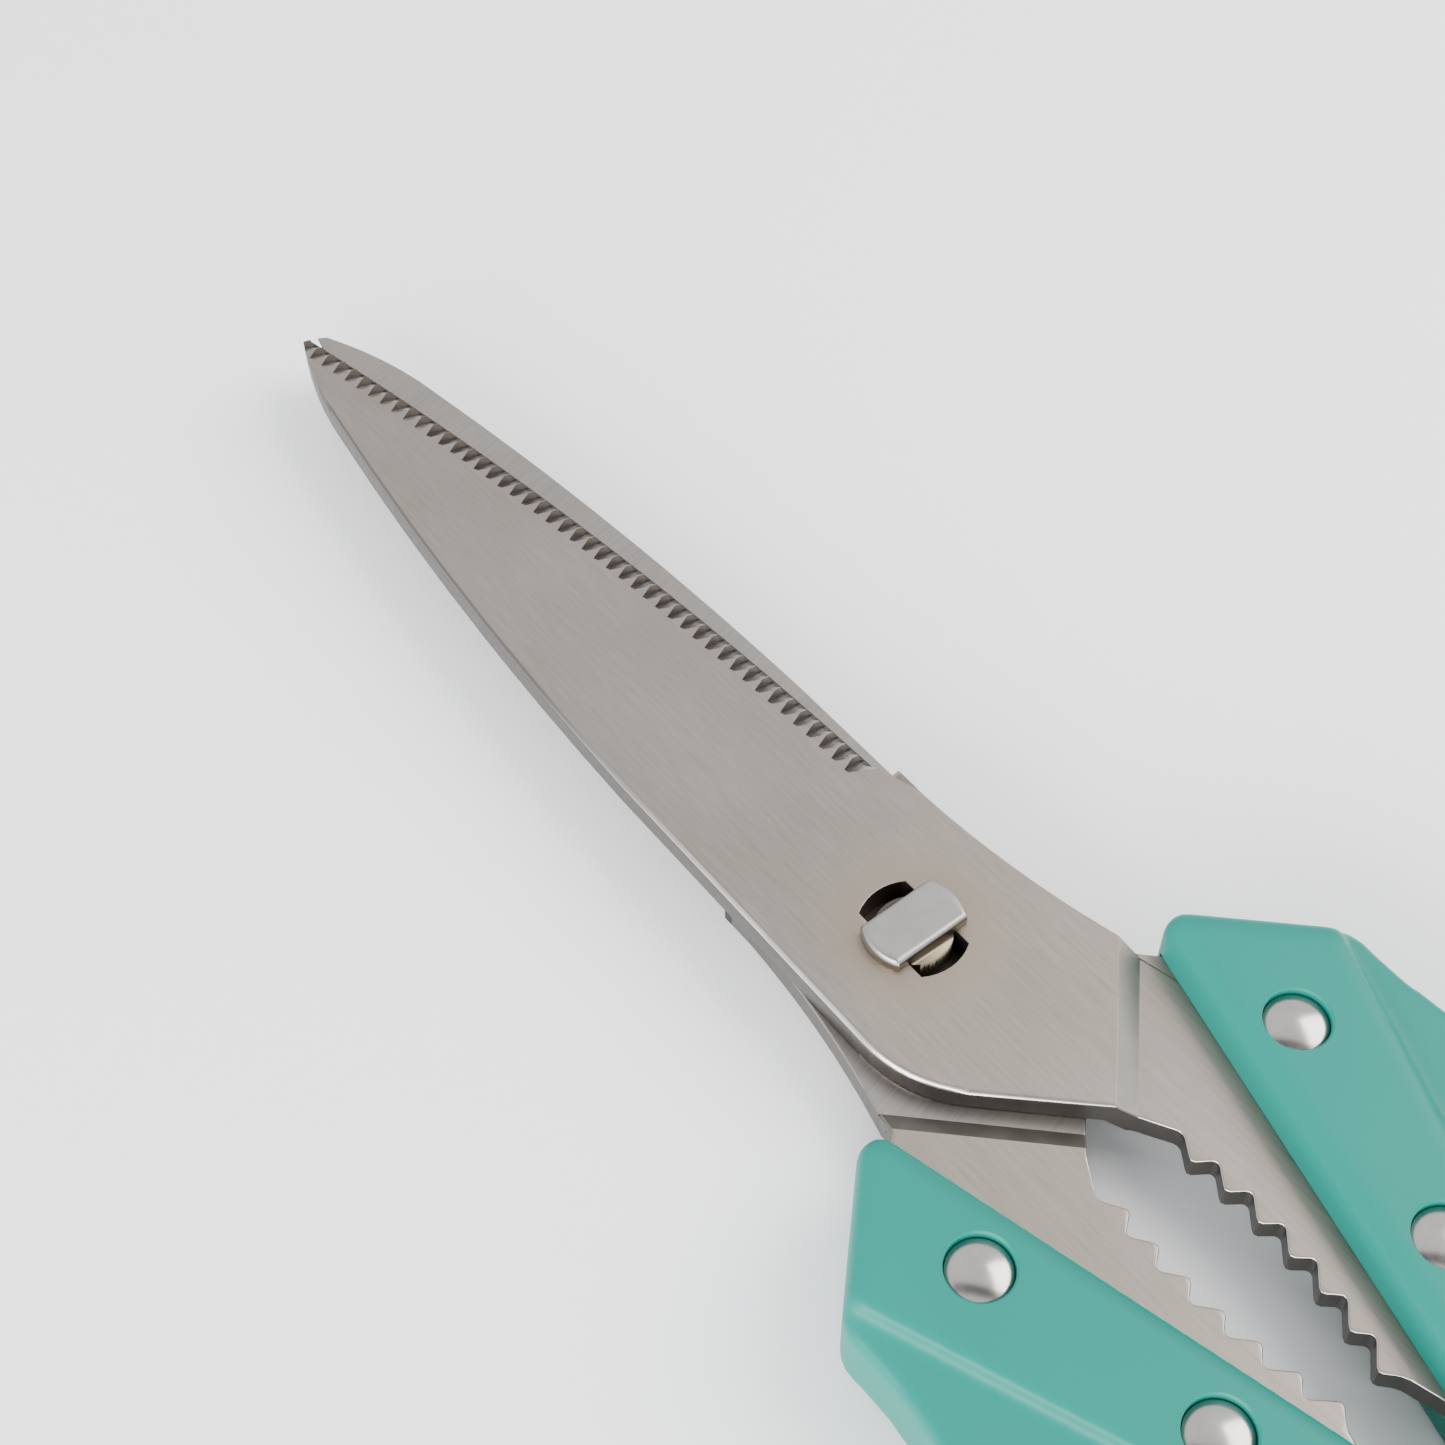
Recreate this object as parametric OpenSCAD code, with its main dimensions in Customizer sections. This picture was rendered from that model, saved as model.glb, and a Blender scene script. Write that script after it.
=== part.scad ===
// Take-apart kitchen shears: two stamped steel halves that cross at a hooked stud,
// each with a one-piece plastic handle held by three two-part rivets.
// The pivot axis crosses the flat face at the middle of the rest position's thickness.

/* [Overall] */
// Length from the pivot axis to the blade tips
blade_reach = 91; // [75:1:115]
// Length from the pivot axis to the rear of the handles
handle_reach = 112; // [105:1:130]
// Thickness of the handles
handle_t = 10; // [9:0.5:14]
// Half of the width over both handles
handle_half_w = 39.5; // [37:0.5:46]

/* [Steel] */
// Thickness of the blade sheet
sheet_t = 2.3; // [1.8:0.1:2.8]
// Gap between the two crossing blades
blade_gap = 0.1; // [0.05:0.05:0.2]
// Distance of the blade spine from the centre line
spine_y = 9.8; // [8.6:0.1:12]
// Distance of the cutting edge's shoulder from the centre line
shoulder_y = 9; // [8:0.1:10]
// Radius of the long cutting edge
edge_r = 420; // [300:10:800]
// Height of the blunt strip that is left along the cutting edge
edge_land = 0.25; // [0.1:0.05:0.5]
// Width of the ground face along the cutting edge
grind_w = 3.1; // [1.6:0.1:3.4]
// Distance between the notches ground across the upper edge
notch_pitch = 1.63; // [1.2:0.01:2.6]

/* [Teeth] */
// Number of gripping teeth on each shank
tooth_count = 7; // [4:1:8]
// Distance from tooth to tooth
tooth_pitch = 3.33; // [2.6:0.01:3.6]
// Depth of a tooth
tooth_depth = 1.5; // [1:0.1:2]

/* [Pivot] */
// Radius of the stud's round shank
stud_r = 3.25; // [2.6:0.05:3.6]
// Running clearance between shank and blade
stud_fit = 0.05; // [0.02:0.01:0.1]
// Radius of the stud's hooked head
head_r = 4.3; // [4:0.1:5]
// Width over the flats of the hooked head
head_w = 4.7; // [4:0.1:5.2]
// Height of the hooked head
head_h = 1.1; // [0.8:0.1:1.8]
// Clearance of the take-apart slot around the head
slot_clear = 0.25; // [0.15:0.05:0.5]

/* [Rivets] */
// Radius of a rivet head
rivet_head_r = 2.35; // [1.8:0.1:2.8]
// Radius of a rivet's tube
rivet_r = 1.5; // [1.2:0.1:1.7]
// Distance from rivet to rivet
rivet_pitch = 19.6; // [18:0.1:21]
// Depth of the recess around a rivet head
recess_depth = 1.2; // [1:0.1:1.8]

/* [Hidden] */

$fn = 64;
steel = [0.68, 0.66, 0.63];
bright = [0.82, 0.82, 0.82];
turquoise = [0.28, 0.80, 0.76];

// Heights. Both sheets run through the middle of the handles and step apart
// at the joggle, the upper one up and the lower one down.
mid_z = handle_t / 2;
joggle = (sheet_t + blade_gap) / 2;
eps = 0.01;
over = 1;
far = 60;

// The pivot lies off the origin, because the origin is at the middle of the length.
pivot_x = (handle_reach - blade_reach) / 2;

// Everything below is drawn for the upper half about the pivot axis: tip along +X,
// spine towards +Y, handle towards -X and -Y. The lower half is turned over.

// Points of the circle of radius r from p to q, on the right of that way when r > 0.
function arc(p, q, r, n) =
  let (d = q - p, h = norm(d) / 2, side = r > 0 ? 1 : -1,
       c = (p + q) / 2 + side * sqrt(r * r - h * h) * [-d[1], d[0]] / norm(d),
       a = atan2(p[1] - c[1], p[0] - c[0]),
       turn = 2 * asin(h / abs(r)) * side)
  [for (i = [0 : n]) c + abs(r) * [cos(a + turn * i / n), sin(a + turn * i / n)]];

// Points of a cubic curve from a to d with the handles b and c.
function curve(a, b, c, d, n) =
  [for (i = [1 : n]) let (t = i / n, s = 1 - t)
    s * s * s * a + 3 * s * s * t * b + 3 * s * t * t * c + t * t * t * d];

// Blade: the long edge is a circle through the shoulder and the tip.
edge_shoulder = [12.6, -shoulder_y];
edge_tip = [blade_reach, 0.5];
nose_tip = edge_tip + [-0.5, 0.8];
shoulder_step = [-0.9, -0.35];
shoulder_lip = [0, -0.35];
edge_chord = edge_tip - edge_shoulder;
edge_mid = (edge_shoulder + edge_tip) / 2;
edge_rise = sqrt(edge_r * edge_r - pow(norm(edge_chord) / 2, 2));
edge_c = edge_mid + edge_rise * [-edge_chord[1], edge_chord[0]] / norm(edge_chord);
shoulder_a = atan2(edge_shoulder[1] - edge_c[1], edge_shoulder[0] - edge_c[0]);
tip_a = atan2(edge_tip[1] - edge_c[1], edge_tip[0] - edge_c[0]);
notch_r = edge_r - grind_w;
notch_step = notch_pitch / notch_r * 180 / PI;
notch_start = 0.3;
notch_count = floor((tip_a - shoulder_a) / notch_step - notch_start);
notch_valley = 0.3;
notch_steep = 0.5;
notch_flat = 0.5;
notch_gentle = 4;
notch_high = 2.4;
notch_back = 0.4;
notched_w = 0.8;
notched_h = 1.1;
notch_drop = atan((sheet_t - notch_valley) / grind_w);
notch_lean = 13;

// Spine: a nose at the tip, a long bow, a straight run and a rounded heel.
nose_back = [blade_reach - 14, spine_y - 4.4];
nose_r = 40;
bow_end = [26, spine_y];
bow_r = 390;
heel_start = [-5.3, spine_y + 0.1];
heel_end = heel_start + [-8.5, -3.4];
heel_r = 12;
heel_corner = heel_end + [-9.2, -9.2];

// Shank: the outer edge sweeps out to the handle and runs on inside it.
shank_out = [-12.3, -12.8];
shank_r = 93;
tang_shoulder = [-20.5, -21];
tang_dive = [-53.5, -4.2];

// Rivets lie on a line that closes towards the middle, rearwards.
rivet_front = [-25.65, -16.3];
rivet_lean = 13.9;
rivet_way = [-cos(rivet_lean), sin(rivet_lean)];
rivet_side = [-sin(rivet_lean), -cos(rivet_lean)];
rivets = [for (i = [0 : 2]) rivet_front + i * rivet_pitch * rivet_way];
tang_side = 4.7;
tang_tail = 5.8;
tang_rear = rivets[2] + tang_tail * rivet_way;

// Teeth: tips on a shallow curve, with notches one depth further out. u and n are
// distances from the pivot towards the handle.
tooth_start = 26;
tooth_tip_at = 0.59 * tooth_pitch;
tooth_land = 0.35;
tooth_bow = 0.009;
tooth_crest = [34, 3.55];
function tip_v(u) = tooth_crest[1] - tooth_bow * pow(u - tooth_crest[0], 2);
function tooth(i) =
  let (n = tooth_start + i * tooth_pitch, t = n + tooth_tip_at)
  [[-n, -tip_v(n) - tooth_depth],
   [-t + tooth_land, -tip_v(t) - tooth_land / 2],
   [-t, -tip_v(t)],
   [-t - tooth_land, -tip_v(t) - tooth_land / 2]];
teeth_end = tooth_start + tooth_count * tooth_pitch;
teeth = [for (i = [0 : tooth_count - 1]) each tooth(i)];

// Back of the tang, inside the handle, with a clearance c around it.
tang_taper = 0.75;
function tang_back(c) = [
  tang_rear + [-c, 0] - tang_taper * (tang_side + c) * rivet_side,
  tang_rear + [-c, 0] + (tang_side + c) * rivet_side,
  rivets[0] + (tang_side + c) * rivet_side,
  tang_shoulder + [c, -c] / sqrt(2)
];

// Fits
tang_fit = 0.05;
pocket_fit = 0.2;
pocket_outer = [-10, -12.5];
pocket_inner = [-10, -1];
rivet_fit = 0.02;
recess_gap = 0.3;
rivet_pin_r = 0.9;
tube_short = 0.5;
head_rim = 0.25;
head_slope = 40;
ring_fn = 1440;
stud_foot_r = 2.8;
stud_foot_fit = 0.01;
stud_base_r = 4.2;
stud_base_h = 0.8;
stud_sink = 0.3;
head_lift = 0.1;
slot_r = head_r + slot_clear;
slot_w = head_w + slot_clear;
bore_r = stud_r + stud_fit;

// Joggle: two bends across the shank at 45 degrees. s runs square to the bends.
bend_low = -25.1 / sqrt(2);
bend_high = -22.6 / sqrt(2);

// Handle outline: a front block with two rounded corners, a bow around the finger
// hole, and an inner side that closes on the other handle at the stop.
front_inner = [-11.2, -15.2];
front_outer = [-22.5, -26.5];
front_inner_r = 2.2;
front_outer_r = 2.2;
stop_gap = 0.6;
stop_front = [-62, -1.5];
stop = [-66, -stop_gap / 2];
inner_mark = [-52.8, -4];
outer_start = [-27.8, -26.4];
widest = [-(handle_reach - 31), -handle_half_w];
rearmost = [-handle_reach, -18];
inner_rear = [-(handle_reach - 21), -3];
bow_w = 8;
bar_w = 4.5;
bow_drop = 1.2;
crease_front = [-22.6, -24.9];
crease_rear = [-41.9, -17];
band_tail = 9;
band_tail_w = 0.6 * bar_w;
band_end = rivets[2] + band_tail * rivet_way;

hole_front = [-46, -20];
hole_rear = rearmost + [bow_w, -2];
hole_inner = rivets[2] + (bar_w + 0.3) * rivet_side + [-12, -0.6];
hole_outer = widest + [0, bow_w];

// Arc points that round the corner p between its neighbours a and b.
function rounded(p, a, b, r, n) =
  let (da = (a - p) / norm(a - p), db = (b - p) / norm(b - p),
       turn = acos(da * db), reach = r / tan(turn / 2),
       c = p + (da + db) / norm(da + db) * r / sin(turn / 2))
  [for (i = [0 : n]) let (v = p + reach * (da * (1 - i / n) + db * i / n) - c)
    c + v / norm(v) * r];

handle_outline = concat(
  rounded(front_inner, inner_mark, front_outer, front_inner_r, 6),
  rounded(front_outer, front_inner, outer_start, front_outer_r, 6),
  [outer_start],
  curve(outer_start, outer_start + [-17, -0.6], widest + [18, 0], widest, 16),
  curve(widest, widest + [-19, 0], rearmost + [0, -11.5], rearmost, 14),
  curve(rearmost, rearmost + [0, 10], inner_rear + [-12, -1.6], inner_rear, 14),
  curve(inner_rear, inner_rear + [8, 1], stop + [-8, 0], stop, 10),
  [stop_front, inner_mark]
);
hole_outline = concat(
  curve(hole_front, hole_front + [-1, -2.4], hole_outer + [20, 0.4], hole_outer, 14),
  curve(hole_outer, hole_outer + [-14, 0], hole_rear + [0, -8], hole_rear, 12),
  curve(hole_rear, hole_rear + [0, 8], hole_inner + [-12, -1], hole_inner, 12),
  curve(hole_inner, hole_inner + [12, 1], hole_front + [-1.5, 3.4], hole_front, 14)
);

// Region where the bow is thinner than the band that carries the rivets.
crease_way = (crease_front - crease_rear) / norm(crease_front - crease_rear);
bow_region = [
  crease_front + 20 * crease_way, crease_rear, rivets[2] + bar_w * rivet_side,
  band_end + band_tail_w * rivet_side, band_end - band_tail_w * rivet_side,
  band_end - far * rivet_side, [-3 * far, far], [-3 * far, -2 * far], [0, -2 * far]
];

// Turns the lower half over onto its own side.
module turned_over() {
  translate([0, 0, 2 * mid_z]) rotate([180, 0, 0]) children();
}

// Moves a half from the pivot axis to the part's own frame.
module on_frame() {
  translate([pivot_x, 0, 0]) children();
}

// Outline of a whole steel half. Its edge side stands out over the cutting edge and is
// trimmed later by the ring.
module half_outline() {
  polygon(concat(
    [edge_shoulder + shoulder_lip],
    [for (t = [0.01 : 0.04 : 0.98]) let (a = shoulder_a + (tip_a - shoulder_a) * t)
      edge_c + (edge_r + over) * [cos(a), sin(a)]],
    [edge_tip],
    arc(nose_tip, nose_back, nose_r, 6),
    arc(nose_back, bow_end, bow_r, 16),
    arc(heel_start, heel_end, heel_r, 8),
    [heel_corner],
    teeth,
    [[-teeth_end, -tip_v(teeth_end) - tooth_depth], tang_dive],
    tang_back(0),
    arc(shank_out, edge_shoulder + shoulder_step, -shank_r, 10)
  ));
}

// The sheet seen from the side: level, down the joggle, level.
module sheet_side() {
  low = mid_z - sheet_t / 2;
  top = mid_z + sheet_t / 2;
  shift = sheet_t / 2 * tan(atan(joggle / (bend_high - bend_low)) / 2);
  polygon([
    [-2 * far, low], [bend_low + shift, low], [bend_high + shift, low + joggle],
    [2 * far, low + joggle], [2 * far, top + joggle],
    [bend_high - shift, top + joggle], [bend_low - shift, top], [-2 * far, top]
  ]);
}

module steel_sheet() {
  intersection() {
    linear_extrude(handle_t) half_outline();
    rotate([0, 0, 45]) rotate([90, 0, 0])
      linear_extrude(3 * far, center = true) sheet_side();
  }
}

// Ring that trims everything beyond the cutting edge and grinds its face, in_w wide
// and up_h high.
module edge_ring(in_w, up_h) {
  low = mid_z + blade_gap / 2;
  outer_r = edge_r + 2 * over;
  top = low + sheet_t + over;
  translate(edge_c) rotate([0, 0, shoulder_a])
    rotate_extrude(angle = tip_a - shoulder_a + over, $fn = ring_fn)
      polygon([
        [edge_r, low - over], [outer_r, low - over], [outer_r, top],
        [edge_r - in_w, top], [edge_r - in_w, low + up_h], [edge_r, low + edge_land]
      ]);
}

// One notch across the edge: a narrow floor between a steep and a gentle side,
// running down from the blade's face to just above the edge.
module notch() {
  translate([0, 0, mid_z + blade_gap / 2 + sheet_t])
    rotate([0, 0, notch_lean]) rotate([90 + notch_drop, 0, 0])
      translate([0, 0, -notch_back]) linear_extrude(grind_w * 2)
        polygon([
          [0, 0], [notch_steep, notch_high],
          [-notch_flat - notch_gentle, notch_high], [-notch_flat, 0]
        ]);
}

// The row of notches, from the tip to the last whole pitch before the shoulder.
module notches() {
  for (i = [0 : notch_count - 1])
    translate(edge_c) rotate([0, 0, tip_a + 90 - (i + notch_start) * notch_step])
      translate([0, -notch_r, 0]) notch();
}

module rivet_holes(r) {
  for (p = rivets) translate([p[0], p[1], -over]) cylinder(h = handle_t + 2 * over, r = r);
}

module upper_blade() {
  color(steel) on_frame() difference() {
    steel_sheet();
    edge_ring(notched_w, notched_h);
    notches();
    translate([0, 0, mid_z]) cylinder(h = handle_t, r = bore_r);
    translate([0, 0, mid_z]) intersection() {
      cylinder(h = handle_t, r = slot_r);
      translate([-far, -slot_w / 2, 0]) cube([2 * far, slot_w, handle_t]);
    }
    rivet_holes(rivet_r + rivet_fit);
  }
}

module lower_blade() {
  color(steel) on_frame() difference() {
    turned_over() difference() {
      steel_sheet();
      edge_ring(grind_w, sheet_t);
      rivet_holes(rivet_r + rivet_fit);
    }
    cylinder(h = mid_z, r = stud_foot_r + stud_foot_fit);
  }
}

// Stud: a riveted base under the lower blade, a foot through it, a round shank in
// the upper blade and a two-flat head that hooks over it.
module pivot_stud() {
  lower_low = mid_z - blade_gap / 2 - sheet_t;
  lower_top = mid_z - blade_gap / 2;
  upper_top = mid_z + blade_gap / 2 + sheet_t;
  base_sphere = (pow(stud_base_r, 2) + pow(stud_base_h, 2)) / 2 / stud_base_h;
  color(bright) on_frame() union() {
    intersection() {
      translate([0, 0, lower_low - stud_base_h]) cylinder(h = stud_base_h, r = stud_base_r);
      translate([0, 0, lower_low - stud_base_h + base_sphere]) sphere(base_sphere, $fn = 128);
    }
    translate([0, 0, lower_low]) cylinder(h = sheet_t, r = stud_foot_r);
    translate([0, 0, lower_top]) cylinder(h = upper_top - stud_sink - lower_top, r = stud_r);
    intersection() {
      translate([0, 0, lower_top]) cylinder(h = upper_top + head_lift - lower_top, r = stud_r);
      translate([-head_w / 2, -far, 0]) cube([head_w, 2 * far, handle_t]);
    }
    intersection() {
      translate([0, 0, upper_top + head_lift]) cylinder(h = head_h, r = head_r);
      translate([-head_w / 2, -far, 0]) cube([head_w, 2 * far, 2 * handle_t]);
    }
  }
}

// Pocket in the handle: the tang's own shape with a clearance, open to the front
// and to the inner side.
module tang_pocket() {
  translate([0, 0, mid_z - sheet_t / 2 - tang_fit])
    linear_extrude(sheet_t + 2 * tang_fit)
      polygon(concat(
        [pocket_outer, pocket_inner, tang_dive + [2, 3], tang_dive + [0, pocket_fit]],
        tang_back(pocket_fit),
        [shank_out + [pocket_fit, -pocket_fit]]
      ));
}

module handle() {
  difference() {
    linear_extrude(handle_t) polygon(handle_outline);
    translate([0, 0, -over]) linear_extrude(handle_t + 2 * over) polygon(hole_outline);
    for (z = [-over, handle_t - bow_drop])
      translate([0, 0, z]) linear_extrude(bow_drop + over) polygon(bow_region);
    tang_pocket();
    rivet_holes(rivet_r + rivet_fit);
    for (p = rivets, z = [-over, handle_t - recess_depth])
      translate([p[0], p[1], z])
        cylinder(h = recess_depth + over, r = rivet_head_r + recess_gap);
  }
}

module upper_handle() {
  color(turquoise) on_frame() handle();
}

module lower_handle() {
  color(turquoise) on_frame() turned_over() handle();
}

// Domed rivet head, standing on z = 0.
module rivet_head() {
  dome_r = rivet_head_r / sin(head_slope);
  dome_h = dome_r * (1 - cos(head_slope));
  intersection() {
    cylinder(h = head_rim + dome_h, r = rivet_head_r);
    translate([0, 0, head_rim + dome_h - dome_r]) sphere(dome_r, $fn = 96);
  }
}

// The upper part of a rivet: a head with a solid pin, i counts from the front.
module rivet_pin(i) {
  floor_z = handle_t - recess_depth;
  pin_h = floor_z - recess_depth - over;
  translate([rivets[i][0], rivets[i][1], 0]) {
    translate([0, 0, floor_z]) rivet_head();
    translate([0, 0, floor_z - pin_h]) cylinder(h = pin_h + eps, r = rivet_pin_r);
  }
}

// The lower part of a rivet: a head with a tube that takes the pin.
module rivet_cap(i) {
  tube_top = handle_t - recess_depth - tube_short;
  translate([rivets[i][0], rivets[i][1], 0]) difference() {
    union() {
      translate([0, 0, recess_depth]) rotate([180, 0, 0]) rivet_head();
      translate([0, 0, recess_depth - eps]) cylinder(h = tube_top - recess_depth, r = rivet_r);
    }
    translate([0, 0, recess_depth + over / 2]) cylinder(h = handle_t, r = rivet_pin_r + rivet_fit);
  }
}

module upper_pin(i) {
  color(bright) on_frame() rivet_pin(i);
}

module upper_cap(i) {
  color(bright) on_frame() rivet_cap(i);
}

// The lower handle's rivets stand the same way up, on the other side.
module lower_pin(i) {
  color(bright) on_frame() mirror([0, 1, 0]) rivet_pin(i);
}

module lower_cap(i) {
  color(bright) on_frame() mirror([0, 1, 0]) rivet_cap(i);
}

lower_blade();
pivot_stud();
lower_handle();
lower_pin(0);  // lower_front_rivet_pin
lower_cap(0);  // lower_front_rivet_cap
lower_pin(1);  // lower_middle_rivet_pin
lower_cap(1);  // lower_middle_rivet_cap
lower_pin(2);  // lower_rear_rivet_pin
lower_cap(2);  // lower_rear_rivet_cap
upper_blade();
upper_handle();
upper_pin(0);  // upper_front_rivet_pin
upper_cap(0);  // upper_front_rivet_cap
upper_pin(1);  // upper_middle_rivet_pin
upper_cap(1);  // upper_middle_rivet_cap
upper_pin(2);  // upper_rear_rivet_pin
upper_cap(2);  // upper_rear_rivet_cap
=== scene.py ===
import math

import bmesh
import bpy
from mathutils import Matrix, Quaternion, Vector


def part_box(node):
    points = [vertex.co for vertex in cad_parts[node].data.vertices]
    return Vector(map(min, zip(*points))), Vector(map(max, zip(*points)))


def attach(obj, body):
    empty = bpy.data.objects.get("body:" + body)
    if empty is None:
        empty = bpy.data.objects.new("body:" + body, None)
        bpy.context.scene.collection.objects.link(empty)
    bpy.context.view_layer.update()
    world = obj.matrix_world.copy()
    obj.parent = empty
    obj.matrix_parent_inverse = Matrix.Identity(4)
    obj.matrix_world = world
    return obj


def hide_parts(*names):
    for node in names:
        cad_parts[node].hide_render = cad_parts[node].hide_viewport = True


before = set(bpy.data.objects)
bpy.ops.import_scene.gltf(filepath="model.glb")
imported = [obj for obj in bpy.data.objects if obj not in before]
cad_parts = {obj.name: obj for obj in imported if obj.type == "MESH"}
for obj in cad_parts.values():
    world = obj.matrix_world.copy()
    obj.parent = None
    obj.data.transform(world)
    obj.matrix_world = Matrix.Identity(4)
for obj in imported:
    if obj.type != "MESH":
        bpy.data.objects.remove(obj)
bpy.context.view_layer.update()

# Take-apart kitchen shears in metres: tips towards +X, handles towards -X. The blades and
# the stud start from the CAD solids. The handles and rivets are worked out in millimetres
# about the pivot and placed at the end.
MM = 0.001
HANDLE_T = 10.0
SHEET_T = 2.3
MID_Z = HANDLE_T / 2
UNDER_HEAD = 7.44
HEAD_TOP_ZONE = 8.3
FLAT_OF_HEAD = 0.95
stud_low, stud_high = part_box("pivot_stud")
PIVOT = (stud_low + stud_high) / 2
PIVOT.z = 0
ON_FRAME = Matrix.Translation(PIVOT) @ Matrix.Scale(MM, 4)
TURNED_OVER = ON_FRAME @ Matrix.Translation((0, 0, HANDLE_T)) @ Matrix.Rotation(math.pi, 4, "X")


# ---------------------------------------------------------------- outlines

def vec(x, y):
    return Vector((x, y))


# The cutting edge of the upper blade is a circle through its shoulder and its tip.
EDGE_SHOULDER = vec(12.6, -9)
EDGE_TIP = vec(91, 0.5)
EDGE_R = 420.0
edge_chord = EDGE_TIP - EDGE_SHOULDER
edge_rise = math.sqrt(EDGE_R ** 2 - (edge_chord.length / 2) ** 2)
edge_middle = (EDGE_SHOULDER + EDGE_TIP) / 2 + edge_rise * edge_chord.orthogonal().normalized()
EDGE_CENTRE = PIVOT + MM * edge_middle.to_3d()

# The line of painted shade just inside that circle, for the gap and contact shadow at the edge: how far
# in it is full, and how far in it has ended.
EDGE_LINE_FULL = 0.6
EDGE_LINE_END = 0.85


def curve(a, b, c, d, count):
    """Points of a cubic curve from a to d with the handles b and c, without a."""
    points = []
    for i in range(1, count + 1):
        t = i / count
        s = 1 - t
        points.append(s * s * s * a + 3 * s * s * t * b + 3 * s * t * t * c + t * t * t * d)
    return points


def rounded(corner, before, after, radius, count):
    """Points of the arc that rounds a corner between its neighbours."""
    to_before = (before - corner).normalized()
    to_after = (after - corner).normalized()
    half = to_before.angle(to_after) / 2
    reach = radius / math.tan(half)
    middle = corner + (to_before + to_after).normalized() * radius / math.sin(half)
    points = []
    for i in range(count + 1):
        along = corner + reach * (to_before * (1 - i / count) + to_after * i / count)
        points.append(middle + (along - middle).normalized() * radius)
    return points


RIVET_FRONT = vec(-25.65, -16.3)
RIVET_PITCH = 19.6
RIVET_LEAN = math.radians(13.9)
RIVET_WAY = vec(-math.cos(RIVET_LEAN), math.sin(RIVET_LEAN))
RIVET_SIDE = vec(-math.sin(RIVET_LEAN), -math.cos(RIVET_LEAN))
RIVETS = [RIVET_FRONT + i * RIVET_PITCH * RIVET_WAY for i in range(3)]

FRONT_INNER = vec(-11.0, -15.0)
FRONT_OUTER = vec(-22.5, -26.5)
FRONT_INNER_R = 1.7
FRONT_OUTER_R = 2.2
OUTER_START = vec(-27.8, -26.4)
WIDEST = vec(-81, -39.5)
REARMOST = vec(-112, -18)
INNER_REAR = vec(-91, -3)
STOP_FRONT = vec(-62, -1.5)
STOP = vec(-66, -0.3)
INNER_MARK = vec(-52.8, -4)
BOW_W = 8.0
BAR_W = 4.5
BOW_DROP = 1.2
CREASE_FRONT = vec(-22.6, -24.9)
CREASE_REAR = vec(-41.9, -17)
BAND_TAIL = 9
BAND_END = RIVETS[2] + BAND_TAIL * RIVET_WAY
FAR = 60.0


def handle_outline():
    points = rounded(FRONT_INNER, INNER_MARK, FRONT_OUTER, FRONT_INNER_R, 8)
    points += rounded(FRONT_OUTER, FRONT_INNER, OUTER_START, FRONT_OUTER_R, 8)
    points += [OUTER_START]
    points += curve(OUTER_START, OUTER_START + vec(-17, -0.6), WIDEST + vec(18, 0), WIDEST, 24)
    points += curve(WIDEST, WIDEST + vec(-19, 0), REARMOST + vec(0, -11.5), REARMOST, 22)
    points += curve(REARMOST, REARMOST + vec(0, 10), INNER_REAR + vec(-12, -1.6), INNER_REAR, 22)
    points += curve(INNER_REAR, INNER_REAR + vec(8, 1), STOP + vec(-8, 0), STOP, 12)
    points += [STOP_FRONT, INNER_MARK]
    return points


def hole_outline():
    front = vec(-46, -20)
    rear = REARMOST + vec(BOW_W, -2)
    inner = RIVETS[2] + (BAR_W + 0.3) * RIVET_SIDE + vec(-12, -0.6)
    outer = WIDEST + vec(0, BOW_W)
    points = curve(front, front + vec(-1, -2.4), outer + vec(20, 0.4), outer, 22)
    points += curve(outer, outer + vec(-14, 0), rear + vec(0, -8), rear, 18)
    points += curve(rear, rear + vec(0, 8), inner + vec(-12, -1), inner, 18)
    points += curve(inner, inner + vec(12, 1), front + vec(-1.5, 3.4), front, 22)
    return points


def band_region():
    """Everything on the inner side of the crease, where the handle has its full height."""
    crease_way = (CREASE_FRONT - CREASE_REAR).normalized()
    tail = 0.6 * BAR_W * RIVET_SIDE
    return [
        CREASE_FRONT + 20 * crease_way, CREASE_REAR, RIVETS[2] + BAR_W * RIVET_SIDE,
        BAND_END + tail, BAND_END - tail, BAND_END - FAR * RIVET_SIDE, vec(FAR, FAR),
    ]


def tang_pocket():
    """The tang's own outline with a clearance, open to the front and the inner side."""
    fit = 0.2
    side = 4.7
    rear = RIVETS[2] + 5.8 * RIVET_WAY
    return [
        vec(-10, -12.5), vec(-10, -1), vec(-51.5, -1.2), vec(-53.5, -4),
        rear - vec(fit, 0) - 0.75 * (side + fit) * RIVET_SIDE,
        rear - vec(fit, 0) + (side + fit) * RIVET_SIDE,
        RIVETS[0] + (side + fit) * RIVET_SIDE,
        vec(-20.5, -21) + 0.7 * vec(fit, -fit),
        vec(-12.3, -12.8) + vec(fit, -fit),
    ]


# ---------------------------------------------------------------- mesh tools

def new_object(name, mesh):
    obj = bpy.data.objects.new(name, mesh)
    bpy.context.scene.collection.objects.link(obj)
    return obj


def from_bmesh(name, bm):
    mesh = bpy.data.meshes.new(name)
    bm.to_mesh(mesh)
    bm.free()
    return new_object(name, mesh)


def prism(name, outline, low, high):
    """Upright solid over a closed outline."""
    bm = bmesh.new()
    face = bm.faces.new([bm.verts.new((p.x, p.y, low)) for p in outline])
    top = bmesh.ops.extrude_face_region(bm, geom=[face])["geom"]
    lifted = [v for v in top if isinstance(v, bmesh.types.BMVert)]
    bmesh.ops.translate(bm, vec=(0, 0, high - low), verts=lifted)
    bmesh.ops.recalc_face_normals(bm, faces=bm.faces)
    return from_bmesh(name, bm)


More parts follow.
